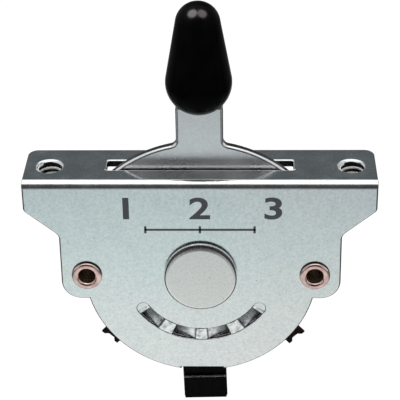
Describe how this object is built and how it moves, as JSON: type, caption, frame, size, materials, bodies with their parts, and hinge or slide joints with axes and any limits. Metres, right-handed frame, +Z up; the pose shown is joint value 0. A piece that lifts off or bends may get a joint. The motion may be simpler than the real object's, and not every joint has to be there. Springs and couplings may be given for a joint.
{
  "type": "guitar pickup selector switch",
  "caption": "Lever switch for an instrument's top plate: folded bracket with tapped holes, swinging lever with a knob, sprung detent, and a wafer with solder lugs behind.",
  "frame": {"origin": "midway between the two tapped mounting holes, on the flange's top face", "axes": "+X to the right seen from the front plate's side, +Y from the front plate to the rear, +Z up through the lever and its knob"},
  "size_m": [0.048, 0.0109, 0.0618],
  "materials": {
    "zinc_plate": "bright zinc plate with a faint blue tone and fine mottling",
    "lever_steel": "bright zinc plate on a sheared stamping",
    "shaft_steel": "satin nickel plate, slightly warm",
    "spring_black": "blackened spring steel, bare at its sheared edge",
    "knob_black": "glossy black moulded plastic",
    "eyelet_copper": "copper-coloured plate, rolled over",
    "wafer_board": "brown laminated board",
    "rotor_board": "brown laminated board, punched",
    "terminal_metal": "tinned brass strip, dark at its cut edges",
    "contact_silver": "silver-plated brass",
    "rivet_brass": "bare brass"
  },
  "bodies": {
    "frame": {"frame": "zinc_plate", "spacer_left": "zinc_plate", "spacer_right": "zinc_plate", "eyelet_left": "eyelet_copper", "eyelet_right": "eyelet_copper", "wafer": "wafer_board", "terminal_rivets": "rivet_brass", "common_terminal_left": "terminal_metal", "common_terminal_right": "terminal_metal", "lower_terminal_left": "terminal_metal", "lower_terminal_right": "terminal_metal", "middle_terminal_left": "terminal_metal", "middle_terminal_right": "terminal_metal", "upper_terminal_left": "terminal_metal", "upper_terminal_right": "terminal_metal", "common_finger_left": "terminal_metal", "common_finger_right": "terminal_metal", "lower_finger_left": "terminal_metal", "lower_finger_right": "terminal_metal", "middle_finger_left": "terminal_metal", "middle_finger_right": "terminal_metal", "upper_finger_left": "terminal_metal", "upper_finger_right": "terminal_metal"},
    "lever": {"lever": "lever_steel", "knob": "knob_black", "pivot_shaft": "shaft_steel", "thrust_bush": "shaft_steel", "retaining_ring": "shaft_steel", "detent_spring": "spring_black", "spring_rivets": "shaft_steel", "rotor": "rotor_board", "rotor_rivets": "rivet_brass", "rotor_contact_front_left": "contact_silver", "rotor_contact_front_right": "contact_silver", "rotor_contact_rear_left": "contact_silver", "rotor_contact_rear_right": "contact_silver"}
  },
  "joints": [
    {"name": "lever_pivot", "type": "hinge", "parent": "frame", "child": "lever", "pos_m": [0, 0, -0.01455], "axis": [0, 1, 0], "range_deg": [-30, 30], "deforming": ["detent_spring"]}
  ]
}
